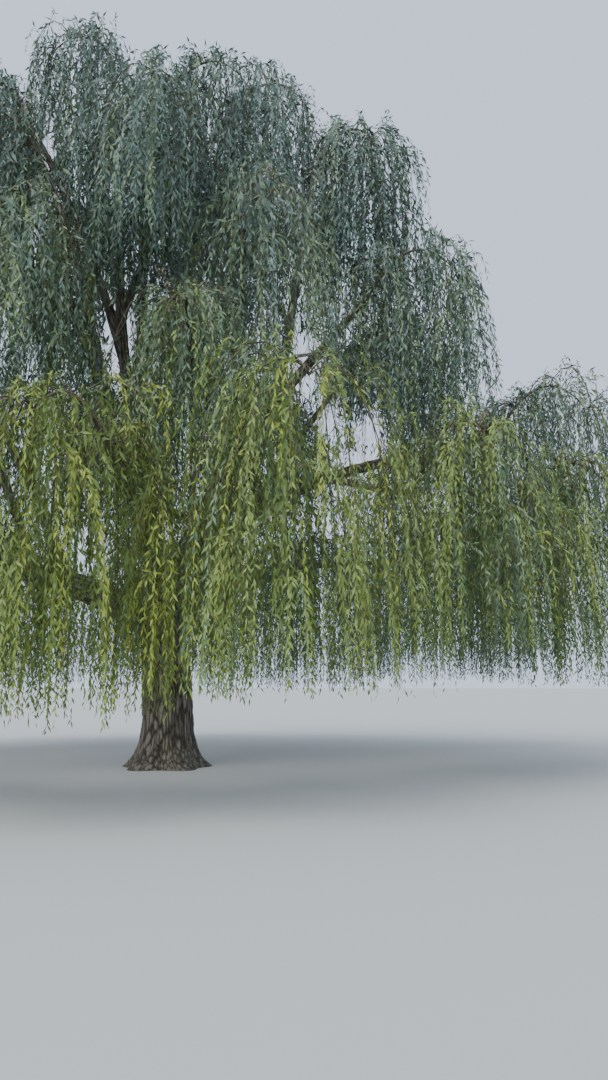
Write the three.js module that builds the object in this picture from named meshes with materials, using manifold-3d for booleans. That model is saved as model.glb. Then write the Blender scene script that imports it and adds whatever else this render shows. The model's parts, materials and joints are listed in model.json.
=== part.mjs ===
// A weeping willow, 17 m tall and about 20 m across, rooted in level ground.
// Millimetres, +Z up, origin in the middle of the flat cut under the trunk. The tree is looked at along +Y.
//
// The trunk sends out its main boughs at its head and runs on as a leader. Side boughs leave them, and every
// bough ends where it enters a mass of foliage. A mass is one arching stem, with strands that reach out from
// it and then hang. Each strand swells into one or two sprays of leaves, and more sprays leave its side and
// the stem.

import * as THREE from "three";
import Module from "manifold-3d";
import { mergeVertices } from "three/addons/utils/BufferGeometryUtils.js";

const wasm = await Module();
wasm.setup();

const UP = new THREE.Vector3(0, 0, 1);
const GAP = 0.3; // clearance between two pieces of wood that meet

// Trunk and leader. The last point of the path is where the leader enters its mass.
const TRUNK_PATH = [
  [0, 0, -60],
  [0, 0, 1100],
  [-150, 40, 3000],
  [-620, 40, 5800],
  [-1150, 0, 8600],
  [-1420, 60, 11900],
  [-1750, 160, 15700],
];
const TRUNK_RADIUS = 500; // between the flare and the head
const HEAD = [1700, 3900]; // heights between which the main boughs leave and the stem thins
const ROOT_FLARE = 340; // how far the foot spreads past the stem
const FLARE_HEIGHT = 300;
const ROOT_LOBES = 5;
const LOBE_DEPTH = 0.13;
const LEADER_RADIUS = 205; // just above the head

// Boughs
const TIP_RADIUS = 44; // where a bough enters its mass
const TAPER = 0.0115; // gain in radius for each unit of length towards the base
const SHARED_WOOD = 0.7; // share of a side bough's section that the parent carries on
const SIDE_CLIMB = 14; // degrees by which a side bough sets out steeper than its chord
const STEEPEST = 76;
const SIDE_HOLD = 0.34; // how far it holds to that, as a share of its chord
const ENTRY_SLOPE = 58; // degrees at which boughs enter their masses
const ENTRY_HOLD = 0.16;

// The stem of a mass, in shares of its spread, from the middle of the mass and its shoulder
const STEM_FOOT = { inward: 0.52, down: 0.6 };
const STEM_TIP = { outward: 0.6, down: 0.4 };
const STEM_RISE = 0.62; // how far it holds to the slope of its bough
const STEM_CREST = { inward: 0.4, up: 0.15 }; // the point that bends it over, inward of its tip

// Strands and sprays
const STRANDS_PER_METRE = 3.6; // of a mass's spread
const FIRST_STRAND = 0.15; // places along the stem where the first and last strands may leave it
const LAST_STRAND = 0.97;
const STRANDS_INWARD = 0.9; // a strand leaves the stem this share of the way out to its foot
const FEET = 0.97; // how far out the strands hang, as a share of the spread
const FEET_POWER = 0.4; // under a half, so that the feet crowd outwards
const STRAND_RISE = { own: 0.1, run: 0.18 }; // shares of the spread and of the strand's own run
const DROPS = [1, 0.93, 0.86]; // of neighbouring strands, as shares of the way down to the hem
const STEM_SPRAYS = 5;
const STEM_SPRAY_SLOPE = -48;
const SIDE_SPRAY_AT = [0.2, 0.3]; // where a strand's side spray leaves it, as a share of its path
const SIDE_SPRAY_SLOPE = -62;
const SLOPE_RANGE = 24;
const TWIST = [60, 150]; // degrees by which a strand turns on its way down
const REACHING_POWER = 2.4;
const FALLING_POWER = 1.7;
const STRAND_RADIUS = 26;
const SPRAY_LENGTH = 1850;
const SPRAY_WIDTH = 560;
const SPRAY_THICKNESS = 32;
const BELLY = 0.4; // place of a spray's widest part, as a share of its length from the root
const HIGHEST_BELLY = 0.86; // of a strand's drop, above its tip
const BARE = 0.12; // the first share of a strand, which bears no spray
const SINK = 14; // how far the root of a spray passes the middle line of its strand
const SEEDS = 12; // ways of growing each mass, of which the fullest is kept
const THRIFT = 0.7; // how far a mass of many triangles counts for less than a simple one
const GRID = 1 / 64;
const SLIVER = 0.6; // what fusing leaves that is thinner than this is smoothed away
const GOLDEN_ANGLE = 137.508;
const SPRAYS_APART = 0.65; // least distance between the middle lines of two sprays, as a share of their width
const TRIES = 10; // places that a strand or a spray may try before it is skipped
const SEARCH_TURN = 60; // degrees that a strand may turn further with each try
const SEARCH_STEP = 0.045; // share of its reach or length that it loses with each try
const ROOM = 60; // kept between foliage and wood, and on each side of the border between two masses
const SPACE_REACH = 1.15; // how far a mass's own space reaches from its upright middle line, in spreads
const SPACE_END = 0.4; // how far that line stops short of the shoulder and the hem, in spreads

// Where the sky shows through the crown to someone at VIEWPOINT: ellipses in the upright plane y = 0.
const VIEWPOINT = new THREE.Vector3(2740, -17000, 1600);
const OPENINGS = [
  { x: -1290, z: 9100, wide: 330, high: 950 },
  { x: 2900, z: 7700, wide: 600, high: 1300 },
  { x: 3950, z: 6950, wide: 600, high: 550 },
  { x: -3050, z: 13500, wide: 250, high: 700 },
];

// The plan of the crown: one row for each bough and the mass at its tip. azimuth (degrees from +X towards +Y)
// and reach place the middle of the mass. shoulder is the height of its top, hem that of its lowest tips and
// spread its radius. at is the share of the parent's path where the bough leaves. A main bough also has the
// azimuth and elevation in which it sets out, and how far it holds to them as a share of its chord.
const PLAN = [
  ["top_left", null, 0, 171, 2550, 17000, 11700, 1700],
  ["top_right", "top_left", 0.71, 24, 2100, 16050, 11200, 1620],
  ["top_middle", "top_left", 0.8, -52, 620, 15450, 10700, 1650],
  ["upper_far_left", "top_left", 0.65, 176, 4800, 15900, 10600, 1850],
  ["upper_front", "top_left", 0.56, -98, 2200, 13500, 9200, 1650],

  ["right", "top_left", 0.3, 11, 8500, 8700, 3600, 1950, [-24, 70, 0.5]],
  ["right_front", "right", 0.4, -33, 6200, 6100, 2000, 1600],
  ["right_low", "right", 0.62, -11, 7750, 5900, 1600, 1500],

  ["middle_right", "top_left", 0.34, -9, 5020, 10750, 6500, 1500, [-46, 66, 0.44]],
  ["upper_right", "middle_right", 0.5, 6, 3950, 14500, 9900, 1600],
  ["middle_front", "middle_right", 0.36, -60, 3450, 10700, 6100, 1550],

  ["front", "top_left", 0.285, -68, 6500, 6100, 1400, 1700, [-76, 44, 0.42]],
  ["front_left", "front", 0.5, -92, 6400, 5500, 1100, 1650],
  ["middle_front_low", "front", 0.38, -79, 4100, 8000, 4600, 1400],

  ["left_front", "top_left", 0.28, -156, 7800, 5900, 1400, 1950, [-152, 42, 0.42]],
  ["front_far_left", "left_front", 0.4, -121, 7000, 5700, 1200, 1850],
  ["middle_left_front", "left_front", 0.34, -159, 5900, 9800, 5700, 1850],
  ["middle_front_left", "top_left", 0.325, -126, 3950, 10200, 6000, 1650, [-114, 66, 0.4]],
  ["upper_front_left", "middle_front_left", 0.42, -148, 4100, 13200, 8800, 1750],

  ["left", "top_left", 0.305, 172, 8000, 6000, 1500, 2000, [168, 45, 0.42]],
  ["back_left", "left", 0.38, 137, 7600, 6000, 1500, 2000],
  ["middle_left_back", "left", 0.3, 161, 6200, 9800, 5700, 1900],
  ["upper_back_left", "middle_left_back", 0.4, 128, 4600, 14300, 9400, 1900],

  ["back", "top_left", 0.29, 102, 7600, 6000, 1500, 2000, [112, 45, 0.42]],
  ["middle_back", "back", 0.32, 117, 5800, 9800, 5600, 1950],
  ["upper_back", "middle_back", 0.34, 80, 4000, 14800, 9600, 1950],

  ["back_right", "top_left", 0.31, 67, 7500, 6000, 1500, 1940, [54, 46, 0.42]],
  ["right_back", "back_right", 0.4, 35, 8100, 6200, 1700, 1900],
  ["middle_back_right", "back_right", 0.34, 72, 5600, 10000, 5800, 1850],
  ["middle_right_back", "back_right", 0.26, 33, 5800, 10600, 6000, 1900],
].map(([name, parent, at, azimuth, reach, shoulder, hem, spread, leave], order) => {
  return { name, parent, at, azimuth, reach, shoulder, hem, spread, leave, order };
});

const BARK = 0x4b4136;
const LOW_LEAVES = new THREE.Color(0x7d8c3f);
const HIGH_LEAVES = new THREE.Color(0x566d58);

// Numbers from 0 to 1 in an order that is the same each time it starts from the same seed.
function seeded(seed) {
  let state = 7919 * (seed + 1);
  return () => {
    state = (state * 16807) % 2147483647;
    return state / 2147483647;
  };
}

function polar(azimuth, reach, height = 0) {
  const angle = THREE.MathUtils.degToRad(azimuth);
  return new THREE.Vector3(reach * Math.cos(angle), reach * Math.sin(angle), height);
}

// Unit vector in the direction of azimuth, raised by elevation.
function heading(azimuth, elevation = 0) {
  const rise = THREE.MathUtils.degToRad(elevation);
  return polar(azimuth, Math.cos(rise), Math.sin(rise));
}

function azimuthOf(vector) {
  return THREE.MathUtils.radToDeg(Math.atan2(vector.y, vector.x));
}

function elevationOf(vector) {
  return THREE.MathUtils.radToDeg(Math.atan2(vector.z, Math.hypot(vector.x, vector.y)));
}

function evenly(steps) {
  return Array.from({ length: steps + 1 }, (_, i) => i / steps);
}

// A cylinder bent along a curve, with a ring of vertices at each station. halfWidths(t) gives the two
// half-widths of the ring at t, swell(t, angle) scales one vertex of it, and twist (degrees) turns the last
// ring against the first. side is a direction in which the curve never runs.
function bentCylinder(curve, side, halfWidths, shape) {
  const { sides, stations, pointed = false, twist = 0, swell = () => 1 } = shape;
  const steps = stations.length - 1;
  const geometry = new THREE.CylinderGeometry(pointed ? 0 : 1, 1, 1, sides, steps);
  const places = geometry.getAttribute("position");
  const rings = stations.map((t) => {
    const along = curve.getTangent(t);
    const across = side.clone().addScaledVector(along, -side.dot(along)).normalize();
    across.applyAxisAngle(along, THREE.MathUtils.degToRad(twist * t));
    const over = along.clone().cross(across);
    return { t, middle: curve.getPoint(t), across, over, half: halfWidths(t) };
  });
  const place = new THREE.Vector3();
  for (let i = 0; i < places.count; i++) {
    const { t, middle, across, over, half } = rings[Math.round((places.getY(i) + 0.5) * steps)];
    const from = Math.hypot(places.getX(i), places.getZ(i));
    place.copy(middle);
    if (from > 0) {
      const angle = Math.atan2(places.getX(i), places.getZ(i));
      place.addScaledVector(over, Math.sin(angle) * half[0] * swell(t, angle));
      place.addScaledVector(across, Math.cos(angle) * half[1] * swell(t, angle));
    }
    places.setXYZ(i, place.x, place.y, place.z);
  }
  return geometry;
}

// The closed geometry as a solid that can be joined and cut.
function solid(geometry) {
  const bare = new THREE.BufferGeometry();
  bare.setAttribute("position", geometry.getAttribute("position"));
  bare.setIndex(geometry.getIndex());
  const merged = mergeVertices(bare, 1e-3);
  const made = new wasm.Mesh({
    numProp: 3,
    vertProperties: merged.getAttribute("position").array,
    triVerts: new Uint32Array(merged.getIndex().array),
  });
  return new wasm.Manifold(made);
}

// The faces of a solid, with its vertices on a fine grid, so that moving them by whole millimetres is exact.
function geometryOf(made) {
  const { vertProperties, triVerts } = made.getMesh();
  const geometry = new THREE.BufferGeometry();
  const onGrid = new Float32Array(vertProperties).map((value) => Math.round(value / GRID) * GRID);
  geometry.setAttribute("position", new THREE.BufferAttribute(onGrid, 3));
  geometry.setIndex(new THREE.BufferAttribute(new Uint32Array(triVerts), 1));
  return geometry;
}

// The largest closed shell of a solid once its slivers are gone, and so without scraps and sealed hollows.
// A hollow that touches the outside along an edge comes apart from it only when the faces are paired again.
function largestShell(made, sliver) {
  let largest = made.simplify(sliver);
  for (let pass = 0; pass < 3; pass++) {
    const shells = solid(geometryOf(largest)).decompose();
    largest = shells.reduce((best, shell) => (shell.volume() > best.volume() ? shell : best));
  }
  return largest;
}

// True if each edge of a solid's faces, once vertices at one place are one, belongs to just two of them.
function isClean(made) {
  const { index } = mergeVertices(geometryOf(made), 1e-3);
  const uses = new Map();
  for (let face = 0; face < index.count; face += 3) {
    for (let corner = 0; corner < 3; corner++) {
      const ends = [index.getX(face + corner), index.getX(face + ((corner + 1) % 3))].sort((a, b) => a - b);
      uses.set(ends.join(), (uses.get(ends.join()) ?? 0) + 1);
    }
  }
  return [...uses.values()].every((count) => count === 2);
}

// The path of a strand: out over its run with a small rise, then down over its drop.
// The powers make it level out and steepen as a hanging twig does, and 6.75 t (1 - t)^2 peaks at 1.
class HangingPath extends THREE.Curve {
  constructor(start, way, run, rise, drop) {
    super();
    Object.assign(this, { start, way, run, rise, drop });
  }

  getPoint(t, target = new THREE.Vector3()) {
    const out = this.run * (1 - (1 - t) ** REACHING_POWER);
    const height = 6.75 * this.rise * t * (1 - t) ** 2 - this.drop * t ** FALLING_POWER;
    return target.copy(this.start).addScaledVector(this.way, out).addScaledVector(UP, height);
  }

  // The place on the path that is this far above its lower end.
  placeAbove(end) {
    return Math.max(BARE, 1 - end / this.drop) ** (1 / FALLING_POWER);
  }
}

function parentOf(row) {
  return PLAN.find((other) => other.name === row.parent);
}

// Lays out the mass of a row: its middle, and the stem that rises from entry and arches out over the middle.
function layOutMass(row, entry, way) {
  const middle = polar(row.azimuth, row.reach);
  const out = middle.clone().sub(entry).setZ(0).normalize();
  const outer = middle.clone().addScaledVector(out, STEM_TIP.outward * row.spread);
  outer.setZ(row.shoulder - STEM_TIP.down * row.spread);
  const rising = entry.clone().addScaledVector(way, STEM_RISE * row.spread);
  const falling = outer.clone().addScaledVector(out, -STEM_CREST.inward * row.spread);
  falling.setZ(row.shoulder + STEM_CREST.up * row.spread);
  row.mass = { middle, out, entry, way, stem: new THREE.CubicBezierCurve3(entry, rising, falling, outer) };
}

// Lays out the bough of a row. It climbs away from its parent and bends out to the mass at its tip.
function layOutBough(row) {
  const start = parentOf(row).curve.getPoint(row.at);
  const middle = polar(row.azimuth, row.reach);
  const out = middle.clone().sub(start).setZ(0).normalize();
  const entry = middle.addScaledVector(out, -STEM_FOOT.inward * row.spread);
  entry.setZ(row.shoulder - STEM_FOOT.down * row.spread);
  const way = heading(azimuthOf(out), ENTRY_SLOPE);
  const chord = entry.clone().sub(start);
  const steep = Math.min(STEEPEST, elevationOf(chord) + SIDE_CLIMB);
  const [azimuth, elevation, hold] = row.leave ?? [azimuthOf(chord), steep, SIDE_HOLD];
  row.curve = new THREE.CubicBezierCurve3(
    start,
    start.clone().addScaledVector(heading(azimuth, elevation), hold * chord.length()),
    entry.clone().addScaledVector(way, -ENTRY_HOLD * chord.length()),
    entry,
  );
  row.side = chord.clone().cross(UP).normalize();
  layOutMass(row, entry, way);
}

const trunk = PLAN[0];
trunk.curve = new THREE.CatmullRomCurve3(TRUNK_PATH.map((place) => new THREE.Vector3(...place)));
trunk.side = new THREE.Vector3(0, 1, 0);
layOutMass(trunk, trunk.curve.getPoint(1), trunk.curve.getTangent(1));
PLAN.slice(1).forEach(layOutBough);

function baseRadius(row) {
  const own = TIP_RADIUS + TAPER * row.curve.getLength();
  const sides = PLAN.filter((other) => other.parent === row.name);
  return Math.sqrt(own ** 2 + SHARED_WOOD * sides.reduce((sum, side) => sum + baseRadius(side) ** 2, 0));
}

function trunkRadius(t) {
  const height = trunk.curve.getPoint(t).z;
  const [low, high] = HEAD;
  const share = Math.max(0, (height - high) / (trunk.mass.entry.z - high));
  const leader = THREE.MathUtils.lerp(LEADER_RADIUS, TIP_RADIUS, share ** 0.8);
  const flare = ROOT_FLARE * Math.exp(-height / FLARE_HEIGHT);
  return THREE.MathUtils.lerp(TRUNK_RADIUS + flare, leader, THREE.MathUtils.smoothstep(height, low, high));
}

// The foot swells over the main roots, in lobes that fade out up the stem.
function rootLobes(t, angle) {
  const height = trunk.curve.getPoint(t).z;
  return 1 + LOBE_DEPTH * Math.cos(ROOT_LOBES * angle) * Math.exp(-height / (2 * FLARE_HEIGHT));
}

function limbRadius(row, t) {
  if (row === trunk) return trunkRadius(t);
  row.thick ??= baseRadius(row);
  return THREE.MathUtils.lerp(TIP_RADIUS, row.thick, (1 - t) ** 0.85);
}

// The trunk or a bough as a solid, thicker all round by grown.
function wood(row, grown = 0) {
  const radius = (t) => [limbRadius(row, t) + grown, limbRadius(row, t) + grown];
  if (row === trunk) {
    const stations = [0, 0.012, 0.03, 0.06, 0.12, 0.16, 0.2, 0.25, 0.34, 0.48, 0.64, 0.82, 1];
    const stem = bentCylinder(row.curve, row.side, radius, { sides: 15, stations, swell: rootLobes });
    return solid(stem).trimByPlane([0, 0, 1], 0);
  }
  const shape = row.leave ? { sides: 6, stations: evenly(7) } : { sides: 5, stations: evenly(4) };
  return solid(bentCylinder(row.curve, row.side, radius, shape));
}

// A limb cut clear of the limbs laid out before it.
function limb(row) {
  const cut = PLAN.slice(0, row.order).reduce((left, other) => left.subtract(wood(other, GAP)), wood(row));
  return largestShell(cut, GAP / 5);
}

// Straight pieces of every limb, for keeping foliage off them.
const LIMB_PIECES = PLAN.flatMap((row) => {
  const places = evenly(16);
  return places.slice(1).map((t, i) => {
    const line = new THREE.Line3(row.curve.getPoint(places[i]), row.curve.getPoint(t));
    return { line, radius: limbRadius(row, places[i]) };
  });
});

function clearOfLimbs(line, halfWidth) {
  return LIMB_PIECES.every((piece) => {
    return piece.line.distanceSqToLine3(line) > (piece.radius + halfWidth + ROOM) ** 2;
  });
}

// How far a place lies from the upright middle line of a mass, as a share of that mass's spread.
function depthIn(row, place) {
  const foot = row.hem + SPACE_END * row.spread;
  const top = row.shoulder - SPACE_END * row.spread;
  const nearest = row.mass.middle.clone().setZ(THREE.MathUtils.clamp(place.z, foot, top));
  return place.distanceTo(nearest) / row.spread;
}

// True where the place is inside the mass's own space, between its shoulder and hem and off its neighbours.
function inSpace(row, place) {
  const own = depthIn(row, place);
  if (own > SPACE_REACH || place.z < row.hem) return false;
  return PLAN.every((other) => other === row || depthIn(other, place) > own + ROOM / row.spread);
}

// True where foliage would hide one of the openings from the viewpoint.
function hidesSky(place) {
  const share = VIEWPOINT.y / (VIEWPOINT.y - place.y);
  const seen = VIEWPOINT.clone().lerp(place, share);
  return OPENINGS.some(({ x, z, wide, high }) => ((seen.x - x) / wide) ** 2 + ((seen.z - z) / high) ** 2 < 1);
}

function linesThrough(places) {
  return places.slice(1).map((place, i) => new THREE.Line3(places[i], place));
}

// True if a spray along these lines stays in the mass's space, off the limbs and off the sprays before it.
function hasRoom(row, lines, sprays) {
  return lines.every((line) => {
    const open = inSpace(row, line.start) && inSpace(row, line.end) && !hidesSky(line.end);
    const apart = (SPRAYS_APART * SPRAY_WIDTH) ** 2;
    if (!open || !clearOfLimbs(line, SPRAY_WIDTH / 2)) return false;
    return sprays.every((other) => other.distanceSqToLine3(line) > apart);
  });
}

// A strand: a three-sided twig that swells into a spray at its end and, if it is long, into one above that.
function strandGeometry({ path, turn, twist }) {
  const upper = (2 - BELLY) * SPRAY_LENGTH - SPRAY_WIDTH / 4;
  const bellies = [(1 - BELLY) * SPRAY_LENGTH, upper].filter((end) => end < HIGHEST_BELLY * path.drop);
  const roots = bellies.map((end) => end + BELLY * SPRAY_LENGTH);
  const swollen = bellies.map((end) => path.placeAbove(end));
  const stations = [0, ...roots.map((end) => path.placeAbove(end)), ...swollen, 1].sort((a, b) => a - b);
  const halfWidths = (t) => {
    const twig = THREE.MathUtils.lerp(STRAND_RADIUS, STRAND_RADIUS / 2, t);
    return swollen.includes(t) ? [SPRAY_WIDTH / 2, SPRAY_THICKNESS / 2] : [twig, twig];
  };
  return bentCylinder(path, heading(turn), halfWidths, { sides: 3, stations, pointed: true, twist });
}

// A spray: a long eight-faced blade that hangs from root along way.
function spraySolid({ root, way, turn, length }) {
  const blade = new THREE.OctahedronGeometry(1);
  blade.deleteAttribute("normal");
  blade.deleteAttribute("uv");
  const places = blade.getAttribute("position");
  for (let i = 0; i < places.count; i++) {
    if (Math.abs(places.getY(i)) < 0.5) places.setY(i, 2 * BELLY - 1);
  }
  blade.scale(SPRAY_WIDTH / 2, length / 2, SPRAY_THICKNESS / 2);
  blade.translate(0, length / 2 - SINK, 0);
  blade.rotateY(THREE.MathUtils.degToRad(turn));
  blade.applyQuaternion(new THREE.Quaternion().setFromUnitVectors(new THREE.Vector3(0, 1, 0), way));
  blade.translate(root.x, root.y, root.z);
  return solid(mergeVertices(blade, 1e-3));
}

// Hangs the strands of a mass. Their feet are spread over its disc by the golden angle, most of them far out.
function strandsOf(row, random, sprays) {
  const { middle, out, entry, stem } = row.mass;
  const count = Math.round((STRANDS_PER_METRE * row.spread) / 1000);
  const strands = [];
  for (let i = 0; i < count; i++) {
    for (let attempt = 0; attempt < TRIES; attempt++) {
      const turn = azimuthOf(out) + GOLDEN_ANGLE * i + SEARCH_TURN * attempt * (random() - 0.5);
      const away = row.spread * (FEET - SEARCH_STEP * attempt) * ((i + 1) / count) ** FEET_POWER;
      const foot = middle.clone().add(polar(turn, away));
      const along = foot.clone().sub(entry).dot(out) / (STEM_FOOT.inward + STEM_TIP.outward) / row.spread;
      const start = stem.getPoint(THREE.MathUtils.clamp(STRANDS_INWARD * along, FIRST_STRAND, LAST_STRAND));
      const gap = foot.clone().sub(start).setZ(0);
      const run = gap.length();
      const drop = (start.z - row.hem - ROOM / 10) * DROPS[i % DROPS.length];
      const rise = STRAND_RISE.own * row.spread + STRAND_RISE.run * run;
      const path = new HangingPath(start, gap.divideScalar(run), run, rise, drop);
      const twig = linesThrough([BARE, 0.22, 0.34].map((t) => path.getPoint(t)));
      const lines = linesThrough([0.34, 0.5, 0.65, 0.8, 0.9, 1].map((t) => path.getPoint(t)));
      if (!twig.every((line) => clearOfLimbs(line, STRAND_RADIUS)) || !hasRoom(row, lines, sprays)) continue;
      sprays.push(...lines);
      strands.push({ path, turn: 360 * random(), twist: THREE.MathUtils.lerp(...TWIST, random()) });
      break;
    }
  }
  return strands;
}

// Finds room for a spray that leaves root within an elevation of slope, give or take a little.
function sprayFrom(row, root, slope, random, sprays) {
  for (let attempt = 0; attempt < TRIES; attempt++) {
    const way = heading(360 * random(), slope + SLOPE_RANGE * (random() - 0.5));
    const length = SPRAY_LENGTH * (1 - SEARCH_STEP * attempt);
    const places = [0.3, 0.65, 1].map((share) => root.clone().addScaledVector(way, share * length));
    const lines = linesThrough(places);
    if (!hasRoom(row, lines, sprays)) continue;
    sprays.push(...lines);
    return [spraySolid({ root, way, turn: 360 * random(), length })];
  }
  return [];
}

// Grows the mass of a row from its stem with the numbers that random gives.
function grow(row, random) {
  const { way, stem, out } = row.mass;
  const thickness = (t) => Array(2).fill(THREE.MathUtils.lerp(TIP_RADIUS, STRAND_RADIUS, t));
  const carried = stem.clone();
  carried.v0 = stem.v0.clone().addScaledVector(way, GAP);
  const sprays = [];
  const strands = strandsOf(row, random, sprays);
  const pieces = [
    bentCylinder(carried, out.clone().cross(UP), thickness, { sides: 3, stations: evenly(4) }),
    ...strands.map(strandGeometry),
  ].map(solid);
  for (const place of evenly(STEM_SPRAYS).slice(1)) {
    const root = carried.getPoint(Math.min(place, LAST_STRAND));
    pieces.push(...sprayFrom(row, root, STEM_SPRAY_SLOPE, random, sprays));
  }
  for (const strand of strands) {
    const root = strand.path.getPoint(THREE.MathUtils.lerp(...SIDE_SPRAY_AT, random()));
    pieces.push(...sprayFrom(row, root, SIDE_SPRAY_SLOPE, random, sprays));
  }
  return largestShell(wasm.Manifold.union(pieces), SLIVER);
}

// The mass of a row: the fullest of several that it could grow into, with some weight on few triangles. One
// that fuses badly, so that two faces touch along an edge, isn't taken.
function foliage(row) {
  const grown = Array.from({ length: SEEDS }, (_, i) => grow(row, seeded(row.order + i * PLAN.length)));
  const merit = (mass) => mass.volume() / mass.numTri() ** THRIFT;
  return grown.filter(isClean).reduce((best, mass) => (merit(mass) > merit(best) ? mass : best));
}

// The solid as a named mesh, drawn about its own origin.
function meshOf(name, made, look, origin) {
  const geometry = geometryOf(made);
  geometry.translate(-origin.x, -origin.y, -origin.z);
  geometry.computeVertexNormals();
  const mesh = new THREE.Mesh(geometry, new THREE.MeshStandardMaterial({ ...look, metalness: 0 }));
  mesh.name = name;
  return mesh;
}

// Where a limb is placed, in whole millimetres.
function originOf(row) {
  return row === trunk ? new THREE.Vector3() : row.curve.getPoint(0).round();
}

const willow = new THREE.Group();
willow.name = "weeping_willow";
for (const row of PLAN) {
  const entry = row.mass.entry.clone().round();
  const start = originOf(row);
  row.group = new THREE.Group();
  row.group.position.copy(start);
  if (row === trunk) {
    willow.add(row.group);
  } else {
    const parent = parentOf(row);
    row.group.position.sub(originOf(parent));
    parent.group.add(row.group);
  }
  const name = row === trunk ? "trunk" : `bough_${row.name}`;
  row.group.add(meshOf(name, limb(row), { color: BARK, roughness: 0.95 }, start));

  const height = THREE.MathUtils.smoothstep(row.shoulder, 5000, 15000);
  const color = LOW_LEAVES.clone().lerp(HIGH_LEAVES, height);
  const leaves = meshOf(`foliage_${row.name}`, foliage(row), { color, roughness: 0.7 }, entry);
  leaves.position.copy(entry).sub(start);
  row.group.add(leaves);
}

export default willow;
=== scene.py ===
# %% [markdown]
# # A weeping willow
# The solids of a full-grown willow are loaded first. They hold the tree's true size: its trunk, its boughs
# and thirty masses of foliage, each drawn as a few broad sprays. This lesson puts the living surface on
# them. Bark goes over the wood, and each mass grows again by the rule that made it, carried on to some
# fifteen thousand twigs and four hundred thousand leaves. Everything is in metres, with +Z up and the
# ground at zero.

# %% Open the solids
import json
import math
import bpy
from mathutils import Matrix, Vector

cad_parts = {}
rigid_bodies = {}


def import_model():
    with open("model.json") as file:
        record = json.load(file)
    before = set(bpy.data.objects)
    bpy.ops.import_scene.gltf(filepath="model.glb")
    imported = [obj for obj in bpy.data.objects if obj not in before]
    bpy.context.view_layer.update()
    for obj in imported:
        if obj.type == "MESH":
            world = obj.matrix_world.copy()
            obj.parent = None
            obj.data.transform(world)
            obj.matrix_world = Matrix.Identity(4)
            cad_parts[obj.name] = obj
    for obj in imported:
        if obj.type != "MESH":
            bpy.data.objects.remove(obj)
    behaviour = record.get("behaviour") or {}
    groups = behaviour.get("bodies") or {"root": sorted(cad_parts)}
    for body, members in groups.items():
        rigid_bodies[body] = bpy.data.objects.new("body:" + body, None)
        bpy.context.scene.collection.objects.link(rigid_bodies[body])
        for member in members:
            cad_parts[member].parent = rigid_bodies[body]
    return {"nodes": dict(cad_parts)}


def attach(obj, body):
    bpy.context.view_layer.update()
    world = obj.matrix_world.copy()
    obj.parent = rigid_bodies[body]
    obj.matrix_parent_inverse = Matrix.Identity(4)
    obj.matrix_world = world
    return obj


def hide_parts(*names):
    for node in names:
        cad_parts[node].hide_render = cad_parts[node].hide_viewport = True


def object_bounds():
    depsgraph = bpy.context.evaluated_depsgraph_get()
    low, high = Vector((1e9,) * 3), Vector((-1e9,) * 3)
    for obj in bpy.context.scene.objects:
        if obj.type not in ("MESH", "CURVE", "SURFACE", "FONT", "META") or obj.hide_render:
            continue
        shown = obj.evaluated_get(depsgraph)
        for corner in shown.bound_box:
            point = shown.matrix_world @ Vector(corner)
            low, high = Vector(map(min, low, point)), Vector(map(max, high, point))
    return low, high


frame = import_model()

from types import SimpleNamespace

import bpy
import numpy as np
from mathutils import Vector, noise

solids_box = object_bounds()
print("solids", len(frame["nodes"]), "box", [list(corner) for corner in solids_box])

# %% [markdown]
# ## The camera
# A tree this large is seen from a person's eye height with the lens tipped up. The camera could be aimed
# with a constraint, but three plain values say more: where the eye is, how far the lens tilts above level,
# and the lens itself. The picture is upright, so Blender measures its sensor along the tall side.

# %% Set up the camera
EYE = Vector((2.74, -17.0, 1.6))
TILT = math.radians(9.9)
PICTURE_HEIGHT = 1080
FOCAL_PIXELS = 831  # the focal length, counted in pixels of the picture

camera = bpy.data.objects.new("eye_height_camera", bpy.data.cameras.new("eye_height_camera"))
camera.location = EYE
camera.rotation_euler = (math.pi / 2 + TILT, 0, 0)
camera.data.lens = camera.data.sensor_width * FOCAL_PIXELS / PICTURE_HEIGHT
camera.data.clip_end = 1000
bpy.context.scene.collection.objects.link(camera)
bpy.context.scene.camera = camera
print("lens", round(camera.data.lens, 1), "mm")

# %% [markdown]
# ## The plan of the crown
# A willow's crown is a set of tiers. Each bough arches out and carries one mass of hanging twigs, so one
# row of numbers can describe a bough and its mass together: where the bough leaves its parent, how far out
# the mass hangs, the height of its top and hem, and its radius. The solids were made from these rows, and
# repeating them here means that every twig starts from a real limb.

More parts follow.
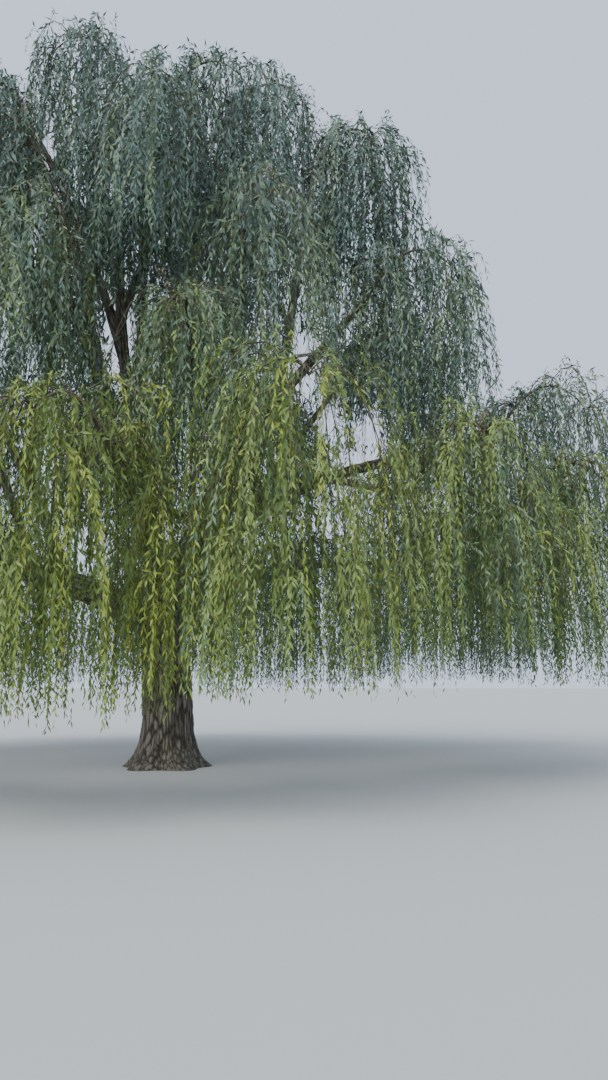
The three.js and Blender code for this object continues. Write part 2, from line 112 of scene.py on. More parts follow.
# %% Lay out the rows
# name, parent, share of the parent's path, azimuth, reach, shoulder, hem, spread. A main bough adds the
# azimuth and elevation in which it sets out, and how far it holds to them as a share of its chord.
PLAN = [
    ("top_left", None, 0, 171, 2.55, 17.0, 11.7, 1.7),
    ("top_right", "top_left", 0.71, 24, 2.1, 16.05, 11.2, 1.62),
    ("top_middle", "top_left", 0.8, -52, 0.62, 15.45, 10.7, 1.65),
    ("upper_far_left", "top_left", 0.65, 176, 4.8, 15.9, 10.6, 1.85),
    ("upper_front", "top_left", 0.56, -98, 2.2, 13.5, 9.2, 1.65),
    ("right", "top_left", 0.3, 11, 8.5, 8.7, 3.6, 1.95, (-24, 70, 0.5)),
    ("right_front", "right", 0.4, -33, 6.2, 6.1, 2.0, 1.6),
    ("right_low", "right", 0.62, -11, 7.75, 5.9, 1.6, 1.5),
    ("middle_right", "top_left", 0.34, -9, 5.02, 10.75, 6.5, 1.5, (-46, 66, 0.44)),
    ("upper_right", "middle_right", 0.5, 6, 3.95, 14.5, 9.9, 1.6),
    ("middle_front", "middle_right", 0.36, -60, 3.45, 10.7, 6.1, 1.55),
    ("front", "top_left", 0.285, -68, 6.5, 6.1, 1.4, 1.7, (-76, 44, 0.42)),
    ("front_left", "front", 0.5, -92, 6.4, 5.5, 1.1, 1.65),
    ("middle_front_low", "front", 0.38, -79, 4.1, 8.0, 4.6, 1.4),
    ("left_front", "top_left", 0.28, -156, 7.8, 5.9, 1.4, 1.95, (-152, 42, 0.42)),
    ("front_far_left", "left_front", 0.4, -121, 7.0, 5.7, 1.2, 1.85),
    ("middle_left_front", "left_front", 0.34, -159, 5.9, 9.8, 5.7, 1.85),
    ("middle_front_left", "top_left", 0.325, -126, 3.95, 10.2, 6.0, 1.65, (-114, 66, 0.4)),
    ("upper_front_left", "middle_front_left", 0.42, -148, 4.1, 13.2, 8.8, 1.75),
    ("left", "top_left", 0.305, 172, 8.0, 6.0, 1.5, 2.0, (168, 45, 0.42)),
    ("back_left", "left", 0.38, 137, 7.6, 6.0, 1.5, 2.0),
    ("middle_left_back", "left", 0.3, 161, 6.2, 9.8, 5.7, 1.9),
    ("upper_back_left", "middle_left_back", 0.4, 128, 4.6, 14.3, 9.4, 1.9),
    ("back", "top_left", 0.29, 102, 7.6, 6.0, 1.5, 2.0, (112, 45, 0.42)),
    ("middle_back", "back", 0.32, 117, 5.8, 9.8, 5.6, 1.95),
    ("upper_back", "middle_back", 0.34, 80, 4.0, 14.8, 9.6, 1.95),
    ("back_right", "top_left", 0.31, 67, 7.5, 6.0, 1.5, 1.94, (54, 46, 0.42)),
    ("right_back", "back_right", 0.4, 35, 8.1, 6.2, 1.7, 1.9),
    ("middle_back_right", "back_right", 0.34, 72, 5.6, 10.0, 5.8, 1.85),
    ("middle_right_back", "back_right", 0.26, 33, 5.8, 10.6, 6.0, 1.9),
]
print("rows in the plan", len(PLAN))

# %% [markdown]
# ## The lines of trunk and boughs
# A limb is a line first and a surface later. The trunk's line runs smoothly through a few places. A
# bough's line is a cubic curve with two handles, because they are just what a grower sees: the way it sets
# out from its parent and the way it leans into the foliage. Both are written as functions of a share from
# 0 to 1, and take a whole array of shares at once.

# %% Turn angles into directions
UP = np.array([0.0, 0.0, 1.0])


def heading(azimuth, elevation=0.0):
    """Unit vectors towards azimuth, in degrees from +X towards +Y, raised by elevation."""
    turn, rise = np.radians(azimuth), np.radians(elevation)
    flat = np.cos(rise)
    return np.stack([np.cos(turn) * flat, np.sin(turn) * flat, np.sin(rise) + 0 * turn], axis=-1)


def azimuth_of(way):
    """The azimuth of a direction, in degrees."""
    return np.degrees(np.arctan2(way[..., 1], way[..., 0]))


def unit(vectors):
    """The same directions, each 1 long."""
    return vectors / np.maximum(np.linalg.norm(vectors, axis=-1, keepdims=True), 1e-9)


# %% Draw smooth lines
def handled(start, first, second, end):
    """A cubic curve from start to end that is drawn towards its handles first and second."""

    def line(t):
        t = np.asarray(t, float)[..., None]
        left = 1 - t
        return left**3 * start + 3 * left**2 * t * first + 3 * left * t**2 * second + t**3 * end

    return line


def smooth_through(places):
    """A smooth curve through places, which doesn't overshoot where they lie close together."""
    places = np.asarray(places, float)
    ends = np.vstack([2 * places[0] - places[1], places, 2 * places[-1] - places[-2]])

    def line(t):
        along = np.clip(np.asarray(t, float), 0, 1) * (len(places) - 1)
        i = np.minimum(along.astype(int), len(places) - 2)
        t = (along - i)[..., None]
        a, b, c, d = ends[i], ends[i + 1], ends[i + 2], ends[i + 3]
        pairs = ((a, b), (b, c), (c, d))
        ab, bc, cd = (np.linalg.norm(q - p, axis=-1, keepdims=True) ** 0.5 for p, q in pairs)
        leaving = ((b - a) / ab - (c - a) / (ab + bc) + (c - b) / bc) * bc
        arriving = ((c - b) / bc - (d - b) / (bc + cd) + (d - c) / cd) * bc
        square = 3 * (c - b) - 2 * leaving - arriving
        cube = 2 * (b - c) + leaving + arriving
        return b + t * leaving + t**2 * square + t**3 * cube

    return line


def length_of(line):
    """The length of a line in metres."""
    return np.linalg.norm(np.diff(line(np.linspace(0, 1, 201)), axis=0), axis=1).sum()


# %% Hang every limb in its place
TRUNK_PATH = [
    (0, 0, -0.06),
    (0, 0, 1.1),
    (-0.15, 0.04, 3.0),
    (-0.62, 0.04, 5.8),
    (-1.15, 0, 8.6),
    (-1.42, 0.06, 11.9),
    (-1.75, 0.16, 15.7),
]
SIDE_CLIMB = 14  # degrees by which a side bough sets out steeper than its chord
STEEPEST = 76
SIDE_HOLD = 0.34  # how far it holds to that, as a share of its chord
ENTRY_SLOPE = 58  # degrees at which boughs enter their masses
ENTRY_HOLD = 0.16
STEM_FOOT_INWARD, STEM_FOOT_DOWN = 0.52, 0.6  # where a mass's stem starts, in shares of its spread
STEM_TIP_OUTWARD, STEM_TIP_DOWN = 0.6, 0.4
STEM_RISE = 0.62
STEM_CREST_INWARD, STEM_CREST_UP = 0.4, 0.15


def lay_stem(limb, entry, way):
    """Adds the arching stem of a limb's mass, and the spot on the ground under the mass's middle."""
    limb.middle = limb.reach * heading(limb.azimuth)
    limb.out = unit((limb.middle - entry) * (1, 1, 0))
    limb.entry = entry
    tip = limb.middle + STEM_TIP_OUTWARD * limb.spread * limb.out
    tip = tip + (limb.shoulder - STEM_TIP_DOWN * limb.spread) * UP
    rising = entry + STEM_RISE * limb.spread * way
    falling = tip * (1, 1, 0) - STEM_CREST_INWARD * limb.spread * limb.out
    falling = falling + (limb.shoulder + STEM_CREST_UP * limb.spread) * UP
    limb.stem = handled(entry, rising, falling, tip)


def lay_bough(limb):
    """Adds a limb's own line, from its parent to the foot of its mass's stem, and then that stem."""
    start = limbs[limb.parent].line(limb.at)
    middle = limb.reach * heading(limb.azimuth)
    out = unit((middle - start) * (1, 1, 0))
    entry = middle - STEM_FOOT_INWARD * limb.spread * out
    entry = entry + (limb.shoulder - STEM_FOOT_DOWN * limb.spread) * UP
    way = heading(azimuth_of(out), ENTRY_SLOPE)
    chord = entry - start
    long = np.linalg.norm(chord)
    slope = math.degrees(math.atan2(chord[2], math.hypot(chord[0], chord[1])))
    turn, rise, hold = limb.leave or (azimuth_of(chord), min(STEEPEST, slope + SIDE_CLIMB), SIDE_HOLD)
    setting_out = start + hold * long * heading(turn, rise)
    coming_in = entry - ENTRY_HOLD * long * way
    limb.line = handled(start, setting_out, coming_in, entry)
    limb.side = unit(np.cross(chord, UP))
    lay_stem(limb, entry, way)


# %% Lay out all the limbs
limbs = {}
for name, parent, at, azimuth, reach, shoulder, hem, spread, *leave in PLAN:
    limb = SimpleNamespace(name=name, parent=parent, at=at, azimuth=azimuth, reach=reach)
    limb.shoulder, limb.hem, limb.spread = shoulder, hem, spread
    limb.leave = leave[0] if leave else None
    limbs[name] = limb
    if parent:
        lay_bough(limb)
    else:
        limb.line, limb.side = smooth_through(TRUNK_PATH), np.array([0.0, 1.0, 0.0])
        last = limb.line([0.9999, 1.0])
        lay_stem(limb, last[1], unit(last[1] - last[0]))
trunk = limbs["top_left"]
masses = list(limbs.values())
print("wood on the boughs", round(sum(length_of(limb.line) for limb in masses)), "m long")

# %% [markdown]
# ## How thick the wood is
# Wood thickens towards the root by what it carries. An old rule says that the branches above a fork have
# together the section of the limb below it. So a bough's radius at its foot is worked out from its own
# length and from the side boughs that leave it. The trunk swells at the ground, where the main roots press
# out of it in lobes, and thins quickly through the head where the boughs leave.

# %% Work out the radii
TRUNK_RADIUS = 0.5
HEAD = (1.7, 3.9)  # the heights between which the trunk thins to its leader
ROOT_FLARE, FLARE_HEIGHT = 0.34, 0.3
ROOT_LOBES, LOBE_DEPTH = 5, 0.13
LEADER_RADIUS = 0.205
TIP_RADIUS = 0.044
TAPER = 0.0115  # metres of radius for each metre of bough
SHARED_WOOD = 0.7  # of a side bough's section that its parent carries on
LEADER_POWER, BOUGH_POWER = 0.8, 0.85  # how a limb thins towards its tip, where 1 is a straight cone


def smoothstep(x, low, high):
    """0 below low, 1 above high and an even S between them."""
    x = np.clip((x - low) / (high - low), 0, 1)
    return x * x * (3 - 2 * x)


def foot_radius(limb):
    """The radius of a bough at its foot, from its own length and the side boughs that leave it."""
    own = TIP_RADIUS + TAPER * length_of(limb.line)
    sides = [foot_radius(other) ** 2 for other in masses if other.parent == limb.name]
    return math.sqrt(own**2 + SHARED_WOOD * sum(sides))


def trunk_radius(t):
    """The trunk's radius at the share t of its path, without the lobes."""
    height = trunk.line(t)[..., 2]
    above = np.clip((height - HEAD[1]) / (trunk.entry[2] - HEAD[1]), 0, 1)
    leader = LEADER_RADIUS + (TIP_RADIUS - LEADER_RADIUS) * above**LEADER_POWER
    stem = TRUNK_RADIUS + ROOT_FLARE * np.exp(-height / FLARE_HEIGHT)
    return stem + (leader - stem) * smoothstep(height, *HEAD)


def limb_radius(limb, t):
    """A limb's radius at the share t of its line."""
    if limb is trunk:
        return trunk_radius(t)
    return TIP_RADIUS + (limb.foot - TIP_RADIUS) * (1 - np.asarray(t, float)) ** BOUGH_POWER


for limb in masses:
    limb.foot = TRUNK_RADIUS if limb is trunk else foot_radius(limb)
print("thickest bough", round(200 * max(limb.foot for limb in masses[1:])), "cm across at its foot")

# %% [markdown]
# ## Bark
# Old willow bark is grey-brown and deeply furrowed, with long ridges that part and join again. A bump map
# would leave the trunk's outline smooth, so the furrows are cut into the mesh. Cell noise gives the
# distances to the two nearest of many scattered points, and where they are equal runs a net of thin lines.
# Drawn out along the limb, that net has the look of furrows round long plates. How deep each vertex lies
# is stored with the mesh, so that the paint can be darker in the furrows.

# %% Draw a net of furrows
PLATE_WIDE = 0.075  # metres, on the trunk
PLATE_LONG = 7  # times as long as they are wide
FURROW_WIDE = 0.34  # of a plate
YOUNG_BARK = 0.16  # a limb of less than this radius has narrower plates and shallower furrows
NARROWEST_PLATE = 0.45  # of one on the trunk
SWAY, SWAY_SCALE = 0.55, 0.6  # how far the furrows wander, in plates, and how quickly
CRACK_SCALE, CRACK_WIDE, CRACK_DEPTH = 2.3, 0.12, 0.22  # fine cracks on the plates
noise.seed_set(11)  # else noise_vector would sway the furrows another way in each run


def furrows(places, along, radius, seed):
    """How deep the bark lies at each place of each ring, from 0 on a plate to 1 in a furrow."""
    depth = np.zeros(places.shape[:2])
    width = PLATE_WIDE * np.clip(radius / YOUNG_BARK, NARROWEST_PLATE, 1)
    for ring, (row, at, wide) in enumerate(zip(places, along, width)):
        for corner, place in enumerate(row):
            where = Vector((place[0] / wide, place[1] / wide, at / (wide * PLATE_LONG) + seed))
            where += SWAY * noise.noise_vector(where * SWAY_SCALE)
            nearest, second = noise.voronoi(where)[0][:2]
            furrow = max(0, 1 - (second - nearest) / FURROW_WIDE)
            crack = max(0, 1 - abs(noise.noise(where * CRACK_SCALE)) / CRACK_WIDE)
            depth[ring, corner] = min(1, furrow + CRACK_DEPTH * crack)
    return depth


# %% Turn a limb's line into bark
FURROW_DEPTH = 0.026
SHALLOWEST = 0.12  # furrow, as a share of one on the trunk


def bark_mesh(limb, shares, sides, seed):
    """Vertices, quads and furrow depths of a limb's bark, closed at both ends."""
    line = limb.line(shares)
    ahead = unit(np.gradient(line, shares, axis=0))
    across = unit(limb.side - (ahead @ limb.side)[:, None] * ahead)
    over = np.cross(ahead, across)
    angle = np.arange(sides) * 2 * math.pi / sides
    ring = np.sin(angle)[None, :, None] * over[:, None] + np.cos(angle)[None, :, None] * across[:, None]
    radius = limb_radius(limb, shares)
    along = np.concatenate([[0], np.cumsum(np.linalg.norm(np.diff(line, axis=0), axis=1))])
    flat = radius[:, None, None] * np.stack([np.cos(angle), np.sin(angle)], -1)[None]
    depth = furrows(flat, along, radius, seed)
    around = np.ones_like(depth) * radius[:, None]
    if limb is trunk:
        height = line[:, 2:]
        around *= 1 + LOBE_DEPTH * np.cos(ROOT_LOBES * angle) * np.exp(-height / (2 * FLARE_HEIGHT))
    cut = FURROW_DEPTH * np.clip(radius / YOUNG_BARK, SHALLOWEST, 1)[:, None]
    bark = line[:, None] + (around - cut * depth)[..., None] * ring
    if limb is trunk:
        bark[0, :, 2] = 0
    rings = len(shares)
    vertices = np.vstack([bark.reshape(-1, 3), line[0], line[-1]])
    i, j = np.meshgrid(np.arange(rings - 1), np.arange(sides), indexing="ij")
    after = (j + 1) % sides
    quads = np.stack([i * sides + j, i * sides + after, (i + 1) * sides + after, (i + 1) * sides + j], -1)
    last = (rings - 1) * sides
    faces = quads.reshape(-1, 4)[:, ::-1].tolist()
    faces += [(k, (k + 1) % sides, rings * sides) for k in range(sides)]
    faces += [(last + (k + 1) % sides, last + k, rings * sides + 1) for k in range(sides)]
    return vertices, faces, np.concatenate([depth.ravel(), [0, 0]])


# %% Space the rings of a limb
FINE = 4001  # places for measuring along a line
ROOT_PART = 400  # of them, in which the trunk's line comes out of the ground
WIDER_RINGS = 4  # how many steps more lie between the trunk's rings high up, inside the crown
WIDENING = (3.2, 7)  # the heights between which they spread out


def even_shares(limb, step):
    """Shares along a limb that lie about step apart, and wider apart high on the trunk."""
    fine = np.linspace(0, 1, FINE)
    if limb is trunk:
        ground = np.interp(0, limb.line(fine[:ROOT_PART])[:, 2], fine[:ROOT_PART])
        fine = np.linspace(ground, 1, FINE)
    line = limb.line(fine)
    gaps = np.linalg.norm(np.diff(line, axis=0), axis=1)
    pace = step * (1 + WIDER_RINGS * smoothstep(line[1:, 2], *WIDENING)) if limb is trunk else step
    reached = np.concatenate([[0], np.cumsum(gaps / pace)])
    return np.interp(np.linspace(0, reached[-1], round(reached[-1]) + 1), reached, fine)


# %% Build the bark of trunk and boughs
# metres between the rings, and the sides of a ring
TRUNK_GRID, MAIN_GRID, SIDE_GRID = (0.026, 196), (0.075, 40), (0.15, 16)
NEXT_BARK = 3.7  # moves each limb to another part of the noise

bark_pieces = []
for order, limb in enumerate(masses):
    step, sides = TRUNK_GRID if limb is trunk else MAIN_GRID if limb.leave else SIDE_GRID
    shares = even_shares(limb, step)
    vertices, faces, depth = bark_mesh(limb, shares, sides, order * NEXT_BARK)
    node = "trunk" if limb is trunk else f"bough_{limb.name}"
    mesh = bpy.data.meshes.new(f"bark_{node}")
    mesh.from_pydata(vertices.tolist(), [], faces)
    mesh.attributes.new("furrow", "FLOAT", "POINT").data.foreach_set("value", depth.astype(np.float32))
    mesh.shade_smooth()
    piece = bpy.data.objects.new(f"bark_{node}", mesh)
    bpy.context.scene.collection.objects.link(piece)
    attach(piece, "root")
    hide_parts(node)
    bark_pieces.append(piece)
print("bark faces", sum(len(piece.data.polygons) for piece in bark_pieces))

# %% [markdown]
# ## How a willow twig hangs
# A weeping twig starts out sideways, rises a little, and then its own weight bends it down until it hangs
# plumb. Two powers of the share along the twig give that: the way out levels off, and the drop steepens.
# The same formula serves a strand as thick as a thumb and a whip as thin as a straw, so a bundle of twigs
# is just a few arrays, and one call places any number of points on all of them.

# %% Bundle twigs and place points on them
REACHING_POWER, FALLING_POWER = 2.4, 1.7


def bundle(**parts):
    """Twigs, as arrays with a value for each."""
    return SimpleNamespace(**parts)


def some(twigs, chosen):
    """The chosen twigs of a bundle."""
    return bundle(**{name: values[chosen] for name, values in vars(twigs).items()})


def together(bundles):
    """One bundle with the twigs of several."""
    names = vars(bundles[0])
    return bundle(**{name: np.concatenate([getattr(part, name) for part in bundles]) for name in names})


def points_on(twigs, t):
    """Places at the shares t of each twig. t is one row for all twigs, or a row for each."""
    t = np.atleast_2d(t)
    out = twigs.run[:, None] * (1 - (1 - t) ** REACHING_POWER) + (twigs.slant * twigs.drop)[:, None] * t
    # 6.75 t (1 - t)^2 peaks at 1
    height = 6.75 * twigs.rise[:, None] * t * (1 - t) ** 2 - twigs.drop[:, None] * t**FALLING_POWER
    return twigs.start[:, None] + out[..., None] * twigs.way[:, None] + height[..., None] * UP


# %% [markdown]
# ## Where a twig may hang
# The crown must keep the shape of the solids. Each mass has its own space: a twig belongs to it only where
# no other mass is nearer, and it stays above the hem and clear of the wood. A willow also lets the sky
# through in places, and those openings count only from where the viewer stands, so they are tested along
# the lines of sight.

# %% Mark the space of each mass
SPACE_REACH = 1.42  # of a mass's spread
SPACE_END = 0.4  # of its spread, by which its middle line is shorter at the top and at the hem
MARGIN = 0.22  # metres by which twigs may leave the box of the solids
FAR = 9  # spreads, further away than any neighbour

middles = np.array([mass.middle for mass in masses])
hems = np.array([mass.hem for mass in masses])
shoulders = np.array([mass.shoulder for mass in masses])
spreads = np.array([mass.spread for mass in masses])
lowest = np.array(solids_box[0]) - MARGIN
highest = np.array(solids_box[1]) + MARGIN


def depths(places):
    """How far each place lies from the middle line of each mass, in shares of that mass's spread."""
    flat = places[:, None, :2] - middles[None, :, :2]
    height = places[:, None, 2]
    rest = height - np.clip(height, hems + SPACE_END * spreads, shoulders - SPACE_END * spreads)
    return np.sqrt((flat**2).sum(-1) + rest**2) / spreads


def in_space(places, number):
    """Whether each place lies in the space of the mass with this number."""
    depth = depths(places)
    own = depth[:, number].copy()
    depth[:, number] = FAR
    boxed = (places > lowest).all(1) & (places < highest).all(1) & (places[:, 2] > hems[number])
    return (own < SPACE_REACH) & (depth.min(1) > own) & boxed


# %% Keep the openings and the wood clear
# x and height of each opening's middle, in the plane of the trunk, and half its width and height
OPENINGS = [
    (-1.29, 9.1, 0.45, 1.1),
    (2.75, 8.3, 0.42, 1.0),
    (3.3, 7.1, 0.5, 0.65),
    (4.15, 6.85, 0.5, 0.55),
    (3.85, 6.2, 0.6, 0.26),
    (-3.05, 13.5, 0.25, 0.7),
]
ROOM = 0.06  # metres between a twig and the wood
WOOD_SHARES = np.linspace(0, 1, 41)
wood_places = np.vstack([limb.line(WOOD_SHARES) for limb in masses])
wood_radii = np.concatenate([limb_radius(limb, WOOD_SHARES) for limb in masses])
print("places to keep clear of along the wood", len(wood_places))


def opening(places):
    """How far inside an opening each place is seen: 1 at its middle, 0 at its edge and beyond."""
    eye = np.array(EYE)
    seen = eye + (places - eye) * (eye[1] / (eye[1] - places[:, 1]))[:, None]
    inside = np.zeros(len(places))
    for x, z, wide, high in OPENINGS:
        away = ((seen[:, 0] - x) / wide) ** 2 + ((seen[:, 2] - z) / high) ** 2
        inside = np.maximum(inside, 1 - away)
    return inside


def off_wood(places):
    """Whether each place lies clear of trunk and boughs."""
    gaps = np.linalg.norm(places[:, None] - wood_places[None], axis=-1)
    return (gaps > wood_radii + ROOM).all(1)


# %% Fit twigs by trying again
TRIES = 7


def fitted(twigs, number, shares, change):
    """The twigs that lie off the wood and, where number isn't None, in that mass's space.

    A twig that doesn't fit is changed and tried again.
    """
    grown = []
    for attempt in range(TRIES):
        places = points_on(twigs, shares)
        flat = places.reshape(-1, 3)
        fits = off_wood(flat)
        if number is not None:
            fits &= in_space(flat, number)
        good = fits.reshape(places.shape[:2]).all(1)
        grown.append(some(twigs, good))
        twigs = change(some(twigs, ~good))
        if not len(twigs.run):
            break
    return together(grown)


# %% [markdown]
# ## Strands and whips
# On the real tree the stem of a mass bears strands, the strands bear long whips, and only the whips bear
# leaves in number. The whips leave a strand in tufts of three that lean one way, so they hang together as
# a tress, with a dark gap before the next. Strands stand out like the ribs of an umbrella and would leave
# its middle empty, so crest and core whips hang from the stem, and inner ones from the limbs in the shade.
# A seeded generator is used for each mass, so the tree grows the same each time.

# %% Grow the strands of a mass
STRANDS_PER_METRE = 13.6  # of a mass's spread
FREE_SIDE = 0.25  # by which the strands are closer towards +X, where no mass stands behind another
FIRST_STRAND, LAST_STRAND = 0.15, 0.97  # where they may leave the stem
STRANDS_INWARD = 0.9
FEET, SIDEWAYS_FEET = 1.02, 1.3  # how far the longest strands reach, outwards and sideways, in spreads
FEET_POWER = 0.5  # which spreads them evenly over the ground
AT_THE_BACK = 0.12  # by which the masses are wider towards +Y
GOLDEN_ANGLE = 137.508
STRAND_TURN = 15  # degrees by which a strand may leave the golden angle
STRAND_RISE_OWN, STRAND_RISE_RUN = 0.1, 0.18  # in shares of the spread and of the strand's run
STRAND_DROP = (0.8, 0.99)  # of the way down to the hem
STRAND_TESTS = [0.3, 0.5, 0.7, 0.85, 1.0]


def strands_of(mass, random):
    """Strands that arch from the stem of a mass in all directions, each to its own foot."""
    count = round(STRANDS_PER_METRE * mass.spread * (1 + FREE_SIDE * smoothstep(mass.middle[0], 2, 5)))
    number = np.arange(count)
    turn = azimuth_of(mass.out) + GOLDEN_ANGLE * number
    turn = turn + random.uniform(-STRAND_TURN, STRAND_TURN, count)
    sideways = np.abs(np.sin(np.radians(turn - mass.azimuth)))
    widest = mass.spread * (1 + AT_THE_BACK * smoothstep(mass.middle[1], 0, 3))
    widest = widest * (FEET + sideways * (SIDEWAYS_FEET - FEET))
    away = widest * ((number + 1) / count) ** FEET_POWER
    foot = mass.middle + away[:, None] * heading(turn)
    along = (foot - mass.entry) @ mass.out / ((STEM_FOOT_INWARD + STEM_TIP_OUTWARD) * mass.spread)
    start = mass.stem(np.clip(STRANDS_INWARD * along, FIRST_STRAND, LAST_STRAND))
    gap = (foot - start) * (1, 1, 0)
    run = np.linalg.norm(gap, axis=1)
    drop = (start[:, 2] - mass.hem) * random.uniform(*STRAND_DROP, count)
    rise = STRAND_RISE_OWN * mass.spread + STRAND_RISE_RUN * run
    strands = bundle(start=start, way=unit(gap), run=run, rise=rise, drop=drop, slant=0 * run)

    def shorten(strands):
        strands.run = strands.run * 0.87
        strands.rise = strands.rise * 0.9
        return strands

    strands = fitted(strands, masses.index(mass), STRAND_TESTS, shorten)
    strands.spray = np.arange(len(strands.run))
    return strands


# %% Grow whips from the strands
TUFTS_PER_STRAND = 5
WHIPS_PER_TUFT = 3
FIRST_TUFT, TUFT_STRETCH, TUFT_POWER = 0.05, 0.84, 0.7  # tufts are closer towards a strand's tip
TUFT_TURN, WHIP_TURN = 50, 26  # degrees by which tufts turn from a strand, and whips from their tuft
TUFT_WIDE = 0.025  # of a strand, to either side
WHIP_RUN = (0.15, 0.75)
WHIP_RISE_OWN, WHIP_RISE_RUN = 0.03, 0.25
WHIP_DROP = (0.6, 2.3)
SHORTEST_WHIP = 0.4
HEM_FROM = 0.47  # the share of a strand from which its whips reach the hem
HEM_RAGGED, HEM_POWER = 0.8, 2.5  # metres by which one tuft may end higher than another, few by all
TUFT_RAGGED = 0.15  # and one whip than another in its tuft
WHIP_SLANT = (-0.03, 0.15)  # metres outwards for each metre down
WHIP_TESTS = [0.2, 0.45, 0.7, 0.85, 1.0]


def turned_away(whips, random):
    """The same whips in new directions, and a little smaller."""
    whips.way = heading(random.uniform(0, 360, len(whips.run)))
    whips.run = whips.run * 0.8
    whips.rise = whips.rise * 0.8
    whips.drop = whips.drop * 0.93
    return whips


def whips_of(strands, number, random):
    """Whips in tufts along the strands of one mass. A tuft starts at one place and leans one way."""
    mass = masses[number]
    shape = (len(strands.run), TUFTS_PER_STRAND)
    place = (np.arange(TUFTS_PER_STRAND) + random.random(shape)) / TUFTS_PER_STRAND
    place = FIRST_TUFT + TUFT_STRETCH * place**TUFT_POWER
    turn = azimuth_of(strands.way)[:, None] + random.normal(0, TUFT_TURN, shape)
    end = mass.hem + HEM_RAGGED * random.random(shape) ** HEM_POWER
    tuft = np.repeat(np.arange(place.size), WHIPS_PER_TUFT)
    count = len(tuft)
    share = place.ravel()[tuft]
    near = (share + random.uniform(-TUFT_WIDE, TUFT_WIDE, count)).reshape(shape[0], -1)
    start = points_on(strands, near).reshape(-1, 3)
    way = heading(turn.ravel()[tuft] + random.normal(0, WHIP_TURN, count))
    run = random.uniform(*WHIP_RUN, count)
    room = start[:, 2] - end.ravel()[tuft] - random.uniform(0, TUFT_RAGGED, count)
    drop = np.where(share > HEM_FROM, room, np.minimum(room, random.uniform(*WHIP_DROP, count)))
    slant = random.uniform(*WHIP_SLANT, count)
    rise = WHIP_RISE_OWN + WHIP_RISE_RUN * run
    whips = bundle(start=start, way=way, run=run, rise=rise, drop=drop, slant=slant, spray=100 + tuft)
    whips = some(whips, drop > SHORTEST_WHIP)
    return fitted(whips, number, WHIP_TESTS, lambda twigs: turned_away(twigs, random))


# %% Grow whips from the stems
CREST_WHIPS, CORE_WHIPS = 16, 20  # for each mass
STEM_BARE = 0.08
STEM_WHIP_RISE = 0.05


def stem_whips_of(mass, number, random, count, width, shortest, longest):
    """Whips that start on the arching stem of a mass, width wide, with drops from shortest to longest."""
    share = STEM_BARE + (1 - STEM_BARE) * (np.arange(count) + random.random(count)) / count
    run = random.uniform(0.2, 1, count) * width
    whips = bundle(
        start=mass.stem(share),
        way=heading(random.uniform(0, 360, count)),
        run=run,
        rise=STEM_WHIP_RISE + WHIP_RISE_RUN * run,
        drop=random.uniform(shortest, longest, count),
        slant=random.uniform(*WHIP_SLANT, count),
        spray=700 + np.arange(count),
    )
    return fitted(whips, number, WHIP_TESTS, lambda twigs: turned_away(twigs, random))


# %% Grow whips inside the crown
INNER_WHIPS_PER_METRE = 10
INNER_FROM, TRUNK_INNER_FROM = 0.12, 0.4  # the share of the limb where they begin
INNER_HEM, INNER_RAGGED = 1.8, 1.5  # metres above the ground, and by which some end higher
INNER_TESTS = [0.45, 0.7, 0.85, 1.0]


def inner_whips_of(limb, number, random):
    """Whips that hang from the outer part of a limb, in the shade inside the crown."""
    first = TRUNK_INNER_FROM if limb is trunk else INNER_FROM
    count = round(INNER_WHIPS_PER_METRE * (1 - first) * length_of(limb.line))
    share = first + (1 - first) * (np.arange(count) + random.random(count)) / count
    start = limb.line(share)
    longest = start[:, 2] - INNER_HEM - INNER_RAGGED * random.random(count)
    drop = np.minimum(random.uniform(1.2, 3.0, count), np.maximum(longest, 0.3))
    whips = bundle(
        start=start,
        way=heading(random.uniform(0, 360, count)),
        run=random.uniform(0.4, 1.3, count),
        rise=random.uniform(0.15, 0.5, count),
        drop=drop,
        slant=random.uniform(*WHIP_SLANT, count),
        spray=800 + np.arange(count) // 3,
    )
    return fitted(whips, None, INNER_TESTS, lambda twigs: turned_away(twigs, random))


# %% [markdown]
# ## Sprigs on top
# The outline of the crown isn't smooth: short sprigs of this year's growth stand up from the arching
# strands and nod over. They are the same hanging twig with a larger rise and a smaller drop.

# %% Grow sprigs
SPRIGS_PER_STRAND = 2
SPRIG_PLACE = (0.02, 0.4)  # the share of the strand where a sprig may stand
SPRIG_SIZE = (0.6, 1.5)
SPRIG_RUN, SPRIG_RISE, SPRIG_DROP = 0.42, 0.27, 0.5  # metres, for a sprig of size 1


def sprigs_of(strands, number, random):
    """Short twigs that stand on the crests of the strands and nod over."""
    count = len(strands.run) * SPRIGS_PER_STRAND
    strand = np.repeat(np.arange(len(strands.run)), SPRIGS_PER_STRAND)
    share = random.uniform(*SPRIG_PLACE, (count, 1))
    start = points_on(some(strands, strand), share)[:, 0]
    size = random.uniform(*SPRIG_SIZE, count)
    tried = bundle(
        start=start,
        way=heading(random.uniform(0, 360, count)),
        run=SPRIG_RUN * size,
        rise=SPRIG_RISE * size,
        drop=SPRIG_DROP * size,
        slant=np.zeros(count),
        spray=600 + strand,
    )

    def shrink(sprigs):
        sprigs.run = sprigs.run * 0.8
        sprigs.rise = sprigs.rise * 0.75
        return sprigs

    return fitted(tried, number, [0.3, 0.6, 1.0], shrink)


# %% [markdown]
# ## The whole crown
# All masses grow by the same few functions, one after the other. What differs between the kinds of twigs
# stands in one small table: how thick they are, where their leaves begin, and how large and how far apart
# these are. Twigs in the shade inside get few and large leaves, because they only have to close the view.

# %% Grow every mass
LEAF_EVERY = 0.082  # metres along a whip
LOW_CLOSER, LOW_SMALLER = 0.37, 0.12  # by which the leaves of the low curtains are closer and smaller

